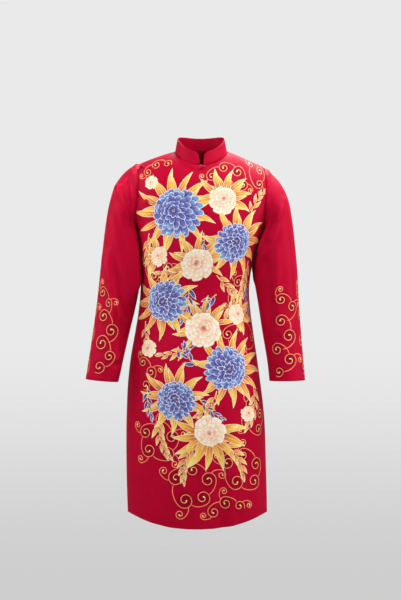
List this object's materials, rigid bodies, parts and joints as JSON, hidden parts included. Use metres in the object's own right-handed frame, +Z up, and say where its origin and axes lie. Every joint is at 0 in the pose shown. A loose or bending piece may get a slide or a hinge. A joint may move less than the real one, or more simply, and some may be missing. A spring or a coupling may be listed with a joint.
{
  "type": "men's ao dai tunic",
  "caption": "Men's ao dai in its worn, hollow form: long tunic with a stand collar, set-in sleeves, side slits and a curved hem.",
  "frame": {"origin": "middle of the neck base, level with the neck points of the shoulders, where the wearer's neck and shoulders hold the garment", "axes": "+X towards the wearer's left, -Y towards the wearer's front, +Z up"},
  "size_m": [0.5656, 0.246, 1.0064],
  "materials": {
    "crimson_cloth": "smooth crimson cloth with a soft satin sheen",
    "knot_cloth": "the same crimson cloth, rolled and knotted"
  },
  "bodies": {
    "root": {"front_panel": "crimson_cloth", "back_panel": "crimson_cloth", "sleeve_right": "crimson_cloth", "sleeve_left": "crimson_cloth", "collar": "crimson_cloth", "neck_button": "knot_cloth", "shoulder_button": "knot_cloth", "armhole_button": "knot_cloth"}
  },
  "joints": []
}
